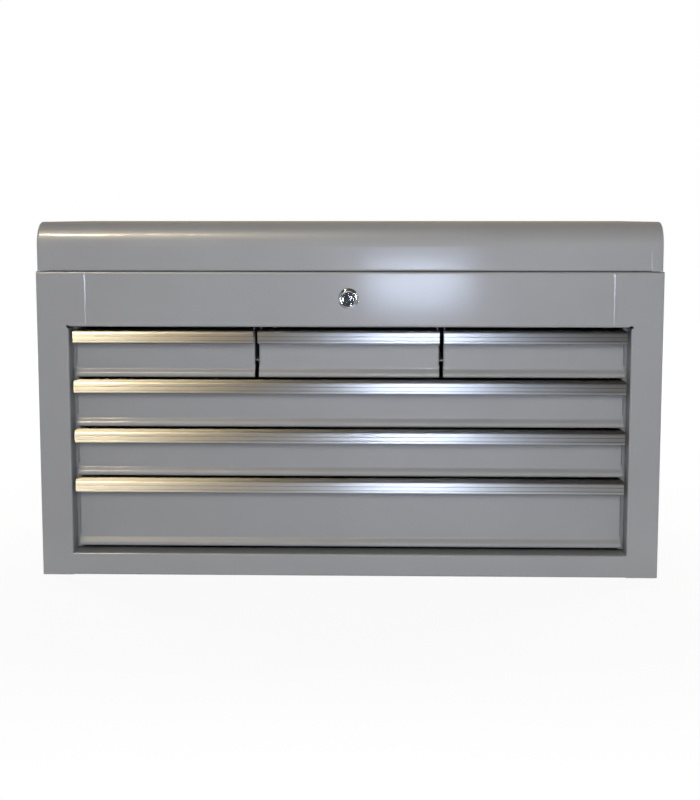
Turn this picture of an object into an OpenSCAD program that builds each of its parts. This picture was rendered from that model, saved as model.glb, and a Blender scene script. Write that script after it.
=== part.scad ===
// Six-drawer top chest: a folded sheet-steel cabinet with a hinged lid over an open till,
// three small drawers side by side, two shallow drawers and one deep drawer below.
// The front faces -Y, +Z is up, and the origin is the centre of the bottom face.

/* [Cabinet] */
// Width of the cabinet over its side panels
body_w = 660; // [560:1:800]
// Depth of the cabinet from the stiles to the back panel
body_d = 305; // [280:1:420]
// Height of the cabinet to the rim of the till
body_h = 326; // [300:1:420]
// Thickness of the cabinet sheet
sheet_t = 1; // [0.7:0.1:1.5]
// Outer radius of the folds in the cabinet sheet
bend_r = 2.2; // [1.6:0.1:4]
// Width of the front stile on each side
stile_w = 33.5; // [28:0.5:45]
// Depth of the jamb that returns into the opening
jamb_d = 24; // [15:0.5:30]
// Height of the upper front rail
rail_h = 58; // [50:0.5:80]
// Width of the corner tab that meets the upper rail
corner_w = 52; // [45:0.5:70]
// Open seam between the corner tab and the rail
rail_seam = 0.2; // [0.1:0.1:1.5]
// Diameter of the relief nibble at the upper corners of the opening
relief_d = 4; // [2:0.5:6]
// Height of the lower front rail
sill_h = 24; // [18:0.5:40]
// Depth of the sill behind the lower rail
sill_d = 32; // [20:0.5:45]
// Width of the flange round the rim of the till
rim_flange = 10; // [6:0.5:16]
// Width of the welding flanges on the rear edges, the floor and the till floor
weld_flange = 14; // [8:0.5:20]

/* [Lid] */
// Height of the lid over the rim of the till
lid_h = 52; // [40:0.5:80]
// Step of the lid inside the cabinet on the front and the sides
lid_inset = 1.4; // [0:0.1:3]
// Open gap between the rim of the till and the lid
lid_gap = 0.6; // [0.4:0.1:3]
// Radius of the lid's front edge
lid_r = 26; // [14:0.5:38]
// Radius of the lid's rear edge
lid_rear_r = 12; // [9:0.5:20]
// Width of the end caps
cap_w = 12.5; // [10:0.5:20]
// Radius of the end caps' outer edge
cap_r = 2.5; // [2:0.5:8]
// Open seam between the lid skin and an end cap
cap_seam = 0.2; // [0.1:0.1:1.5]
// Length of the lap of an end cap under the lid skin
cap_lap = 10; // [5:0.5:16]
// Width of the hem under the lid's front and rear walls
lid_hem = 8; // [5:0.5:12]
// Diameter of the lid's rubber buffers
buffer_d = 8; // [5:0.5:10]
// Diameter of a buffer's stem
buffer_stem_d = 4; // [2:0.5:5]
// Clearance of a buffer's stem in the lid's hem on the radius
buffer_fit = 0.1; // [0.05:0.05:0.3]
// Distance of the buffers from the ends of the cabinet
buffer_x = 30; // [25:0.5:60]
// Opening angle of the lid
lid_open = 97; // [80:1:105]

/* [Hinge] */
// Outer diameter of the knuckles
knuckle_d = 6; // [5:0.1:9]
// Diameter of the hinge pin
pin_d = 3; // [2:0.1:4.5]
// Running clearance of the pin on the radius
pin_fit = 0.05; // [0.02:0.01:0.1]
// Length of one knuckle with its share of the gap
knuckle_pitch = 30; // [20:1:60]
// Number of knuckles on both leaves together
knuckles = 20; // [8:2:30]
// Gap between neighbouring knuckles
knuckle_gap = 0.6; // [0.3:0.1:1.5]
// Thickness of a hinge leaf
leaf_t = 1.2; // [0.8:0.1:2]
// Height of a hinge leaf from the pin
leaf_h = 24; // [15:0.5:34]

/* [Drawers] */
// Height of a shallow drawer front
shallow_h = 50.5; // [46:0.5:70]
// Gap between one row of drawers and the next
row_gap = 3; // [2.5:0.1:6]
// Gap over the sill under the lowest drawer
sill_gap = 4.5; // [3:0.1:8]
// Gap under the upper rail over the highest drawers
head_gap = 4.6; // [2:0.1:6]
// Gap between the drawer fronts and the stiles
side_gap = 3.5; // [2:0.1:6]
// Gap between the fronts of the small drawers
column_gap = 4.4; // [3:0.1:8]
// Recess of the drawer faces behind the stiles
face_recess = 21; // [19:0.5:26]
// Thickness of the drawer sheet
drawer_t = 0.8; // [0.6:0.1:1.2]
// Outer radius of the folds in the drawer sheet
drawer_bend = 2; // [1.4:0.1:3]
// Height over the foot at which a drawer front steps forward
step_h = 8.5; // [8:0.5:14]
// Height of the sloped part of the step
step_rise = 4.5; // [3:0.5:4.5]
// Reach of the foot in front of the drawer face
step_out = 4.5; // [2:0.1:5]
// Radius of the creases above and below the slope
step_r = 3.5; // [1:0.5:3.5]
// Depth of the returns behind a drawer front's side edges and foot
front_return = 6; // [4:0.5:12]
// Overhang of a drawer front past the side of its tray
front_lap = 12; // [11:0.5:20]
// Distance from the top of a drawer front down to the tray sides
side_drop = 8; // [5:0.5:16]
// Width of the hem on the tray sides
tray_hem = 5; // [3:0.5:8]
// Free depth behind the trays
rear_space = 24; // [20:0.5:40]

/* [Pulls] */
// Height of a pull's front lip
pull_h = 13.5; // [12:0.5:20]
// Reach of a pull in front of the drawer face
pull_out = 18; // [12:0.5:18.5]
// Wall of the pull extrusion
pull_t = 1.6; // [1.2:0.1:2.5]
// Outer radius of a pull's front edge
pull_r = 3; // [2:0.1:4]
// Height of the legs that grip the drawer front
pull_leg = 8; // [5:0.5:10]
// Diameter of the bead on the lip's lower edge
pull_bead = 3.4; // [2.4:0.1:5]
// Width of the fine grooves along the lip
pull_groove = 0.8; // [0.4:0.1:1.2]

/* [Slides] */
// Height of the outer slide member
slide_h = 27; // [22:0.5:35]
// Space between the slide's seat and the tray side
slide_w = 10; // [9:0.1:14]
// Thickness of the slide sheet
slide_t = 1; // [0.8:0.1:1.2]
// Diameter of the balls
ball_d = 4.4; // [3.6:0.1:5]
// Clearance of the balls in their races
ball_gap = 0.3; // [0.1:0.05:0.4]
// Number of balls in each row
row_balls = 4; // [2:1:6]
// Distance between the balls of a row
ball_pitch = 14.5; // [10:0.5:20]
// Thickness of the ball cage
cage_t = 0.6; // [0.4:0.1:0.8]
// Distance from the top of the tray side down to the slide's axis
slide_drop = 11.5; // [10:0.5:16]
// Width of an upright where the slides sit
upright_w = 36; // [20:1:60]
// Depth of the divider hangers below the till floor
divider_h = 39; // [32:0.5:46]

/* [Lock] */
// Height of the lock over the lower edge of the upper rail
lock_up = 30; // [20:0.5:35]
// Diameter of the lock's flange
lock_flange_d = 22; // [20:0.5:28]
// Diameter of the lock's barrel
lock_barrel_d = 18.6; // [16:0.1:19]
// Diameter of the lock's plug
lock_plug_d = 12; // [10:0.1:13]
// Running clearance of the plug on the radius
plug_fit = 0.05; // [0.02:0.01:0.1]
// Length of the barrel behind the rail
lock_barrel_l = 15; // [12:0.5:20]
// Reach of the cam from the lock's axis
cam_reach = 20; // [16:0.5:22]
// Width of the cam
cam_w = 9; // [7:0.5:10]
// Thickness of the cam and the strike
cam_t = 2; // [1.5:0.1:3]
// Clearance between the cam and the strike
cam_gap = 1; // [0.5:0.1:2]

/* [Lid stop] */
// Radius of the stop's slot about the hinge pin
stop_r = 34; // [28:0.5:40]
// Diameter of the stud
stud_d = 6; // [5:0.1:8]
// Clearance of the stud in the slot on the radius
stud_gap = 0.3; // [0.2:0.05:0.6]
// Angle of the stud below the rim with the lid closed
stop_low = 50; // [42:1:55]
// Thickness of the brackets and arms
stop_t = 2; // [1.5:0.1:3]
// Distance of the brackets from the side panels
stop_in = 10; // [9:0.5:16]
// Margin of metal round the slot
stop_edge = 6; // [4:0.5:8]
// Height of the arms' offset over the lower edge of the lid
arm_rise = 14; // [10:0.5:18]
// Height of the arms' pads on the end caps
arm_pad = 14; // [8:0.5:18]

/* [Handles] */
// Height of the handles' axis
handle_z = 215; // [150:1:260]
// Width of a handle plate
plate_w = 124; // [112:1:160]
// Height of a handle plate
plate_h = 46; // [40:1:60]
// Thickness of a handle plate
plate_t = 1.6; // [1:0.1:3]
// Corner radius of a handle plate
plate_r = 8; // [4:0.5:12]
// Diameter of the bail's rod
rod_d = 6; // [5:0.1:8]
// Running clearance of the rod in its ears on the radius
rod_fit = 0.08; // [0.03:0.01:0.1]
// Wall of the ears round the rod
ear_wall = 3; // [2:0.1:5]
// Length of an ear
ear_l = 12; // [8:0.5:16]
// Distance between the axes of a bail's arms
bail_w = 108; // [100:1:140]
// Drop of the bail's grip from its axis
bail_drop = 40; // [32:0.5:55]
// Bend radius of the rod
bail_r = 7; // [6:0.5:12]

/* [Hidden] */
$fn = 48;

// Finishes
paint = "#8b8d91";
paint_dark = "#7c7e82";
alloy = "#c9cacb";
zinc = "#a9adb0";
chrome = "#d5d8da";
rubber = "#2a2a2c";

// Cabinet
hw = body_w / 2;
hd = body_d / 2;
t = sheet_t;
open_hw = hw - stile_w;
open_top = body_h - rail_h;
corner_x = hw - corner_w;
corner_end = hw - bend_r - t;
till_z = open_top + t;
till_top = till_z + t;
rear_in = hd - t;

// Lid
lid_hw = hw - lid_inset;
lid_z0 = body_h + lid_gap;
lid_z1 = body_h + lid_h;
lid_y0 = hd - lid_inset;
cap_x = lid_hw - cap_w;
cap_land = (lid_rear_r - cap_r) / 4;

// Hinge: the pin lies level with the middle of the lid gap, just clear of the back panel
pin_y = hd + knuckle_d / 2 + 0.3;
pin_z = body_h + lid_gap / 2;
hinge_l = knuckles * knuckle_pitch;
hair = 0.02;

// Drawers: rows are counted from the top, drawers from the upper left
face_y = -hd + face_recess;
front_w = 2 * (open_hw - side_gap);
small_w = (front_w - 2 * column_gap) / 3;
deep_z0 = sill_h + sill_gap;
row_z0 = [for (i = [0 : 2]) open_top - head_gap - shallow_h - i * (shallow_h + row_gap)];
deep_h = row_z0[2] - row_gap - deep_z0;
function row(n) = n <= 3 ? 0 : n - 3;
function width(n) = n <= 3 ? small_w : front_w;
function height(n) = n == 6 ? deep_h : shallow_h;
function foot(n) = n == 6 ? deep_z0 : row_z0[row(n)];
function centre(n) = n <= 3 ? (n - 2) * (small_w + column_gap) : 0;
function tray_w(n) = width(n) - 2 * front_lap;
function side_top(n) = foot(n) + height(n) - side_drop;
function slide_z(n) = side_top(n) - slide_drop;
tray_y1 = hd - rear_space;

// Slides: the balls of each row run between a race of the outer and one of the inner member
slide_y0 = max(-hd + jamb_d, face_y + front_return) + 1;
slide_y1 = tray_y1;
race_r = ball_d / 2 + ball_gap;
race_mid = race_r + slide_t / 2;
ball_x = race_r + slide_t;
ball_z = slide_h / 2 - race_r - slide_t;
cage_x = slide_t + ball_gap;
cage_l = (row_balls - 1) * ball_pitch + 8;
seat_x = front_w / 2 - front_lap + slide_w;
divider_w = column_gap + 2 * front_lap - 2 * slide_w;
divider_x = (small_w + column_gap) / 2;

// Lock
lock_z = open_top + lock_up;
boss_w = lock_plug_d / 2;
cam_y1 = -hd + lock_barrel_l + 2;
strike_x = cam_reach + cam_gap + 1;
strike_w = 10;
ledge_z = lock_z - cam_w / 2 - cam_gap;

// Handles
rod_x = hw + plate_t + rod_d / 2 + 2;
ear_y = bail_w / 2 - bail_r - ear_l - 1;

// One leg of a polyline, its heading, and the turn at one of its corners
function leg(p, i) = p[i + 1] - p[i];
function heading(p, i) = atan2(leg(p, i).y, leg(p, i).x);
function wrap(a) = a > 180 ? a - 360 : a < -180 ? a + 360 : a;
function turn(p, i) = wrap(heading(p, i) - heading(p, i - 1));
function ray(r, a) = r * [cos(a), sin(a)];

// Points along a polyline whose corners are rounded to the given radii
function rounded(p, radii, steps = 6) = [
    p[0],
    for (i = [1 : len(p) - 2])
        let (
            h = heading(p, i - 1),
            s = sign(turn(p, i)),
            r = radii[i - 1],
            mid = p[i] - ray(r * tan(abs(turn(p, i)) / 2), h) + ray(s * r, h + 90)
        )
        for (k = [0 : steps]) mid + ray(r, h - s * 90 + turn(p, i) * k / steps),
    p[len(p) - 1]
];

// Outline of a strip of width w along a polyline
function edge(p, i, w) =
    let (
        a = heading(p, max(0, i - 1)),
        d = wrap(heading(p, min(len(p) - 2, i)) - a)
    )
    ray(w / 2 / cos(d / 2), a + d / 2 + 90);
function ribbon(p, w) = concat(
    [for (i = [0 : len(p) - 1]) p[i] + edge(p, i, w)],
    [for (i = [len(p) - 1 : -1 : 0]) p[i] - edge(p, i, w)]
);

// Part of a ring of mid radius r and wall w, from angle a over a sweep
module arc_strip(r, w, a, sweep) {
    far = 2 * (r + w);
    intersection() {
        difference() {
            circle(r + w / 2);
            circle(r - w / 2);
        }
        polygon([[0, 0], ray(far, a), ray(far, a + sweep / 2), ray(far, a + sweep)]);
    }
}

// Section of a folded sheet of thickness w whose mid-plane follows a polyline;
// radii holds the mid radius at each inner corner, or one radius for all of them
module folded(path, w, radii) {
    last = len(path) - 1;
    rad = [for (i = [0 : last]) is_list(radii) ? radii[max(0, i - 1)] : radii];
    cut = [for (i = [0 : last]) i == 0 || i == last ? 0 : rad[i] * tan(abs(turn(path, i)) / 2)];
    for (i = [0 : last - 1])
        translate(path[i])
            rotate(heading(path, i))
                translate([cut[i], -w / 2])
                    square([norm(leg(path, i)) - cut[i] - cut[i + 1], w]);
    for (i = [1 : last - 1]) {
        h = heading(path, i - 1);
        s = sign(turn(path, i));
        a = h - s * 90;
        translate(path[i] - ray(cut[i], h) + ray(s * rad[i], h + 90))
            arc_strip(rad[i], w, min(a, a + turn(path, i)), abs(turn(path, i)));
    }
}

// Extrusions of a section along one axis, from one station to another
module along_x(x0, x1) {
    translate([x0, 0, 0])
        rotate([90, 0, 90])
            linear_extrude(x1 - x0)
                children();
}
module along_y(y0, y1) {
    translate([0, y1, 0])
        rotate([90, 0, 0])
            linear_extrude(y1 - y0)
                children();
}
module along_z(z0, z1) {
    translate([0, 0, z0])
        linear_extrude(z1 - z0)
            children();
}
module both_sides() {
    children();
    mirror([1, 0, 0])
        children();
}

// Rectangle between two opposite corners
module span(a, b) {
    translate(a)
        square(b - a);
}

// Section of the upper front rail: rim flange, face and the return over the opening
module rail_section() {
    folded([
        [-hd + rim_flange, body_h - t / 2],
        [-hd + t / 2, body_h - t / 2],
        [-hd + t / 2, open_top + t / 2],
        [-hd + jamb_d, open_top + t / 2]
    ], t, bend_r - t / 2);
}

// Section of the corner over a stile: rim flange and face only
module corner_section() {
    folded([
        [-hd + rim_flange, body_h - t / 2],
        [-hd + t / 2, body_h - t / 2],
        [-hd + t / 2, open_top - bend_r]
    ], t, bend_r - t / 2);
}

// Right-hand side panel: rear flange, wall, stile and jamb folded from one sheet,
// with the corner tab of the front rail and a rim flange along the till
module side_panel() {
    wall = [
        [hw - weld_flange, hd - 1.5 * t],
        [hw - t / 2, hd - 1.5 * t],
        [hw - t / 2, -hd + t / 2]
    ];
    rim_y0 = -hd + rim_flange + 2;
    rim_y1 = hd - stop_r - 20;
    difference() {
        union() {
            along_z(0, sill_h)
                folded(concat(wall, [[open_hw, -hd + t / 2]]), t, bend_r - t / 2);
            along_z(sill_h, open_top)
                folded(concat(wall, [
                    [open_hw + t / 2, -hd + t / 2],
                    [open_hw + t / 2, -hd + jamb_d]
                ]), t, bend_r - t / 2);
            along_z(open_top, body_h)
                folded(concat(wall, [[corner_end, -hd + t / 2]]), t, bend_r - t / 2);
            along_x(corner_x, open_hw)
                rail_section();
            along_x(open_hw + bend_r, corner_end)
                corner_section();
            along_x(open_hw, corner_end)
                intersection() {
                    corner_section();
                    span([-hd, open_top], [hd, body_h]);
                }
        }
        // Rounded front edge of the rim at the outer corner
        difference() {
            along_x(corner_end, hw + 1)
                span([-hd - 1, body_h - bend_r], [-hd + bend_r, body_h + 1]);
            along_x(corner_end - 1, hw + 2)
                translate([-hd + bend_r, body_h - bend_r])
                    circle(bend_r);
        }
        // Relief nibble where the jamb meets the rail's return
        along_y(-hd - 1, -hd + jamb_d + 1)
            translate([open_hw, open_top])
                circle(d = relief_d);
        // Room for the rim fold along the wall
        along_y(rim_y0, rim_y1)
            span([hw - t - 1, body_h - bend_r], [hw + 1, body_h + 1]);
    }
    along_y(rim_y0, rim_y1)
        folded([
            [hw - rim_flange, body_h - t / 2],
            [hw - t / 2, body_h - t / 2],
            [hw - t / 2, body_h - bend_r - t]
        ], t, bend_r - t / 2);
}

module side_right() {
    color(paint)
        side_panel();
}

module side_left() {
    color(paint)
        mirror([1, 0, 0])
            side_panel();
}

// Back panel with a rim flange, lapped over the side panels' rear flanges
module back_panel() {
    flange_x = hw - 3 * weld_flange;
    color(paint) {
        along_x(-flange_x, flange_x)
            folded([
                [hd - rim_flange, body_h - t / 2],
                [hd - t / 2, body_h - t / 2],
                [hd - t / 2, 0]
            ], t, bend_r - t / 2);
        both_sides()
            along_z(0, body_h)
                span([flange_x, rear_in], [hw - bend_r, hd]);
    }
}

// Bottom panel: floor, lower front rail and sill folded from one sheet, with welding flanges
module bottom_panel() {
    color(paint) {
        along_x(-open_hw, open_hw)
            folded([
                [-hd + sill_d - t / 2, sill_h - weld_flange],
                [-hd + sill_d - t / 2, sill_h - t / 2],
                [-hd + t / 2, sill_h - t / 2],
                [-hd + t / 2, t / 2],
                [rear_in - t / 2, t / 2],
                [rear_in - t / 2, weld_flange]
            ], t, bend_r - t / 2);
        both_sides() {
            along_z(0, t)
                span([open_hw, -hd + t], [hw - 2 * bend_r, hd - 2 * t]);
            along_y(-hd + sill_d, hd - sill_d)
                folded([
                    [open_hw - t, t / 2],
                    [hw - 1.5 * t, t / 2],
                    [hw - 1.5 * t, weld_flange]
                ], t, bend_r - t / 2);
        }
    }
}

// Upper front rail between the corner tabs, with a backing strip behind each seam
module front_rail() {
    end = corner_x - rail_seam;
    color(paint)
        difference() {
            union() {
                along_x(-end, end)
                    rail_section();
                both_sides()
                    along_y(-hd + t, -hd + 2 * t)
                        span(
                            [end - weld_flange, open_top + 2 * bend_r],
                            [end + weld_flange, body_h - 2 * bend_r]
                        );
            }
            translate([0, -hd, lock_z])
                rotate([90, 0, 0])
                    cylinder(h = 4 * t, d = lock_barrel_d + 4 * plug_fit, center = true);
        }
}

// Floor of the till, resting on the rail's return, with up-turned welding flanges
module till_floor() {
    wing = hw - weld_flange - 2 * t;
    color(paint_dark) {
        along_x(-wing, wing)
            folded([
                [-hd + bend_r, till_z + t / 2],
                [rear_in - t / 2, till_z + t / 2],
                [rear_in - t / 2, till_z + weld_flange]
            ], t, bend_r - t / 2);
        both_sides() {
            along_z(till_z, till_top)
                span([wing, -hd + bend_r], [hw - 2 * bend_r, hd - 2 * t]);
            along_y(-hd + sill_d, hd - sill_d)
                folded([
                    [wing, till_z + t / 2],
                    [hw - 1.5 * t, till_z + t / 2],
                    [hw - 1.5 * t, till_z + weld_flange]
                ], t, bend_r - t / 2);
        }
    }
}

// Divider hanger: a channel that hangs from the till floor between two small drawers
module divider() {
    x0 = divider_x - divider_w / 2 + t / 2;
    x1 = divider_x + divider_w / 2 - t / 2;
    z0 = till_z - divider_h;
    along_y(slide_y0, slide_y1)
        folded([
            [x0 - weld_flange, till_z - t / 2],
            [x0, till_z - t / 2],
            [x0, z0 + t / 2],
            [x1, z0 + t / 2],
            [x1, till_z - t / 2],
            [x1 + weld_flange, till_z - t / 2]
        ], t, bend_r - t / 2);
}

module divider_right() {
    color(paint)
        divider();
}

module divider_left() {
    color(paint)
        mirror([1, 0, 0])
            divider();
}

// Front and rear hat-section uprights on the right-hand wall, which carry the slides
module uprights() {
    x0 = seat_x + t / 2;
    x1 = hw - 1.5 * t;
    for (y = [slide_y0, slide_y1 - upright_w])
        along_z(max(sill_h, weld_flange) + t, till_z)
            folded([
                [x1, y + t / 2 - weld_flange],
                [x1, y + t / 2],
                [x0, y + t / 2],
                [x0, y + upright_w - t / 2],
                [x1, y + upright_w - t / 2],
                [x1, y + upright_w - t / 2 + weld_flange]
            ], t, bend_r - t / 2);
}

module uprights_right() {
    color(paint_dark)
        uprights();
}

module uprights_left() {
    color(paint_dark)
        mirror([1, 0, 0])
            uprights();
}

// Places a section, drawn from its seat at x = 0 towards the tray, at both slides of a drawer
module slide_pair(n) {
    translate([centre(n), 0, slide_z(n)])
        both_sides()
            translate([-tray_w(n) / 2 - slide_w, 0, 0])
                children();
}

// Outer slide members: a web on the cabinet and two curled races over the balls
module cabinet_slides(n) {
    color(zinc)
        slide_pair(n)
            along_y(slide_y0, slide_y1) {
                span([0, -ball_z], [slide_t, ball_z]);
                for (s = [0, 1])
                    mirror([0, s])
                        translate([ball_x, ball_z])
                            arc_strip(race_mid, slide_t, 20, 160);
            }
}

// Inner slide members: a web on the tray and two flanges whose lips cup the balls
module drawer_slides(n) {
    flange_z = ball_z - race_mid;
    color(zinc)
        slide_pair(n)
            along_y(slide_y0, slide_y1) {
                folded([
                    [ball_x, flange_z],
                    [slide_w - slide_t / 2, flange_z],
                    [slide_w - slide_t / 2, -flange_z],
                    [ball_x, -flange_z]
                ], slide_t, slide_t);
                for (s = [0, 1])
                    mirror([0, s])
                        translate([ball_x, ball_z])
                            arc_strip(race_mid, slide_t, 250, 20);
            }
}

// Ball cages: a thin strip between the members that holds a row of balls at each edge.
// The drawer can travel by the slide's length less the cage's.
module ball_cages(n) {
    mid = (slide_y0 + slide_y1) / 2;
    color(zinc)
        slide_pair(n) {
            along_y(mid - cage_l / 2, mid + cage_l / 2)
                span([cage_x, -ball_z - 1], [cage_x + cage_t, ball_z + 1]);
            for (i = [0 : row_balls - 1], s = [-1, 1])
                translate([ball_x, mid + (i - (row_balls - 1) / 2) * ball_pitch, s * ball_z])
                    sphere(d = ball_d);
        }
}

// Drawer front in its own frame: x along the front, z from its foot, face at y = 0.
// The foot steps forward over its full width, and the side edges are folded back.
module drawer_front(w, h) {
    mid = drawer_t / 2;
    fold = drawer_bend - mid;
    step_z = step_h + step_r;
    return_z = h - pull_leg - 1;
    along_x(-w / 2, w / 2)
        polygon(ribbon(rounded([
            [mid, step_z + 1],
            [mid, step_h],
            [mid - step_out, step_h - step_rise],
            [mid - step_out, mid],
            [front_return, mid]
        ], [step_r, step_r, fold]), drawer_t));
    along_y(0, drawer_t) {
        span([-w / 2 + drawer_bend, step_z], [w / 2 - drawer_bend, h - pull_t]);
        span([-w / 2, return_z], [w / 2, h - pull_t]);
    }
    both_sides()
        along_z(step_z + 1, return_z)
            folded([
                [w / 2 - 2 * drawer_bend, mid],
                [w / 2 - mid, mid],
                [w / 2 - mid, front_return]
            ], drawer_t, fold);
}

// Drawer body: folded tray with hemmed sides, a back wall and the stepped front
module drawer_tray(n) {
    x1 = tray_w(n) / 2 - drawer_t / 2;
    z0 = foot(n) + drawer_t / 2;
    z1 = side_top(n) - drawer_t / 2;
    color(paint)
        translate([centre(n), 0, 0]) {
            along_y(face_y + drawer_t / 2, tray_y1)
                folded([
                    [-x1 + tray_hem, z1],
                    [-x1, z1],
                    [-x1, z0],
                    [x1, z0],
                    [x1, z1],
                    [x1 - tray_hem, z1]
                ], drawer_t, drawer_bend - drawer_t / 2);
            along_y(tray_y1 - drawer_t, tray_y1)
                span([-x1 + drawer_bend, z0], [x1 - drawer_bend, z1]);
            translate([0, face_y, foot(n)])
                drawer_front(width(n), height(n));
        }
}

// Section of a pull: y is the distance from the drawer face, forwards negative,
// and z is measured from the top of the drawer
module pull_section() {
    lip_y = -pull_out + pull_t / 2;
    difference() {
        union() {
            folded([
                [drawer_t + pull_t, -pull_t / 2],
                [lip_y, -pull_t / 2],
                [lip_y, -pull_h + pull_bead / 2]
            ], pull_t, pull_r - pull_t / 2);
            translate([-pull_out + pull_bead / 2, -pull_h + pull_bead / 2])
                circle(d = pull_bead);
            span([drawer_t, -pull_leg], [drawer_t + pull_t, 0]);
            span([-pull_t, -pull_leg], [0, 0]);
        }
        for (z = [-pull_h / 2 + pull_bead / 4, -pull_h + pull_bead])
            translate([-pull_out, z])
                circle(d = pull_groove);
    }
}

module drawer_pull(n) {
    color(alloy)
        translate([centre(n), face_y, foot(n) + height(n)])
            along_x(-width(n) / 2, width(n) / 2)
                pull_section();
}

// Knuckles of one leaf: every second one along the pin, joined to a leaf plate by their roots
module leaf(first, z0, z1, notch) {
    translate([-hinge_l / 2, 0, 0])
        difference() {
            union() {
                along_x(knuckle_gap, hinge_l - knuckle_gap)
                    span([hd, z0], [hd + leaf_t, z1]);
                for (i = [first : 2 : knuckles - 1])
                    along_x(i * knuckle_pitch + knuckle_gap / 2, (i + 1) * knuckle_pitch - knuckle_gap / 2)
                        translate([pin_y, pin_z])
                            circle(d = knuckle_d);
            }
            for (i = [1 - first : 2 : knuckles - 1])
                along_x(i * knuckle_pitch - knuckle_gap / 2, (i + 1) * knuckle_pitch + knuckle_gap / 2)
                    span([hd - 1, pin_z - notch], [pin_y + knuckle_d, pin_z + notch]);
            along_x(-1, hinge_l + 1)
                translate([pin_y, pin_z])
                    circle(d = pin_d + 2 * pin_fit);
        }
}

module hinge_leaf_body() {
    color(zinc)
        leaf(0, pin_z - leaf_h, pin_z, knuckle_d / 2 + 0.5);
}

module hinge_leaf_lid() {
    color(zinc)
        leaf(1, pin_z, pin_z + leaf_h, knuckle_d / 2 + 0.5);
}

module hinge_pin() {
    color(zinc)
        along_x(-hinge_l / 2, hinge_l / 2)
            translate([pin_y, pin_z])
                circle(d = pin_d);
}

// Lid skin: hemmed front wall, rounded front edge, top, rear edge and hemmed rear wall
module lid_skin() {
    z0 = lid_z0 + t / 2;
    z1 = lid_z1 - t / 2;
    fold_r = bend_r - t / 2;
    color(paint)
        difference() {
            along_x(-cap_x, cap_x)
                folded([
                    [-lid_y0 + lid_hem, z0],
                    [-lid_y0 + t / 2, z0],
                    [-lid_y0 + t / 2, z1],
                    [hd - t / 2, z1],
                    [hd - t / 2, z0],
                    [hd - lid_hem, z0]
                ], t, [fold_r, lid_r - t / 2, lid_rear_r - t / 2, fold_r]);
            buffer_places()
                cylinder(h = 4 * t, d = buffer_stem_d + 2 * buffer_fit, center = true);
        }
}

// Half of an end cap's edge: rim and tongue swept up the wall at y1, round the edge of radius r
// and along the top to the middle; x of their sections runs outwards, y away from the lid
module cap_half(y1, r) {
    translate([cap_x, y1, 0]) {
        along_z(lid_z0, lid_z1 - r)
            cap_rim();
        along_z(lid_z0 + 2 * bend_r, lid_z1 - r)
            cap_tongue();
    }
    translate([cap_x, y1 - r, lid_z1 - r])
        rotate([90, 0, 90])
            rotate_extrude(angle = 90)
                translate([r, 0])
                    mirror([1, -1]) {
                        cap_rim();
                        cap_tongue();
                    }
    translate([cap_x, y1 - r, lid_z1])
        rotate([90, 0, 0])
            linear_extrude(y1 - r) {
                cap_rim();
                cap_tongue();
            }
}

// Rounded rim of an end cap, and the tongue that laps under the lid skin
module cap_rim() {
    span([cap_seam, -t], [cap_w - cap_r, 0]);
    translate([cap_w - cap_r, -cap_r])
        arc_strip(cap_r - t / 2, t, 0, 90);
    span([cap_w - t, -cap_r - cap_land], [cap_w, -cap_r]);
}
module cap_tongue() {
    span([-cap_lap, -2 * t], [cap_seam + t, -t]);
}

// Outline of the lid's end, drawn in by an inset
module lid_outline(inset) {
    r0 = lid_r - inset;
    r1 = lid_rear_r - inset;
    y0 = -lid_y0 + inset;
    y1 = hd - inset;
    z1 = lid_z1 - inset;
    difference() {
        span([y0, lid_z0], [y1, z1]);
        span([y0 - 1, z1 - r0], [y0 + r0, z1 + 1]);
        span([y1 - r1, z1 - r1], [y1 + 1, z1 + 1]);
    }
    intersection() {
        translate([y0 + r0, z1 - r0])
            circle(r0);
        span([y0, z1 - r0], [y0 + r0, z1]);
    }
    intersection() {
        translate([y1 - r1, z1 - r1])
            circle(r1);
        span([y1 - r1, z1 - r1], [y1, z1]);
    }
}

// Right-hand end cap: a drawn pressing with a rounded outer edge and a lap under the skin
module lid_end() {
    mirror([0, 1, 0])
        cap_half(lid_y0, lid_r);
    cap_half(hd, lid_rear_r);
    along_x(lid_hw - t, lid_hw)
        lid_outline(cap_r + cap_land / 2);
}

module lid_end_right() {
    color(paint)
        lid_end();
}

module lid_end_left() {
    color(paint)
        mirror([1, 0, 0])
            lid_end();
}

// Lid buffers: pads on the rim with stems through the lid's front hem
module buffer_places() {
    both_sides()
        translate([hw - buffer_x, -lid_y0 + lid_hem / 2 + t, lid_z0])
            children();
}

module lid_buffers() {
    pad = lid_gap - 0.1;
    color(rubber)
        buffer_places() {
            translate([0, 0, -pad])
                cylinder(h = pad, d = buffer_d);
            cylinder(h = 2 * t, d = buffer_stem_d);
            translate([0, 0, t])
                cylinder(h = 1.5 * t, d = buffer_stem_d + 1);
        }
}

// Lock strike: a bracket welded inside the lid's front wall whose ledge hooks under the cam
module lid_strike() {
    seat = -lid_y0 + t + cam_t / 2;
    plane = cam_y1 + cam_t / 2;
    top = lid_z0 + 16;
    color(zinc) {
        along_x(strike_x, strike_x + strike_w)
            folded([
                [seat, top - 12],
                [seat, top],
                [plane, top],
                [plane, ledge_z - 8]
            ], cam_t, cam_t);
        along_y(cam_y1, cam_y1 + cam_t)
            span([cam_w / 2 + cam_gap, ledge_z - 8], [strike_x, ledge_z]);
    }
}

// Revolves a section about the lock's axis: x is the radius, y the distance in front of the rail
module about_lock() {
    translate([0, -hd, lock_z])
        rotate([90, 0, 0])
            rotate_extrude()
                children();
}

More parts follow.
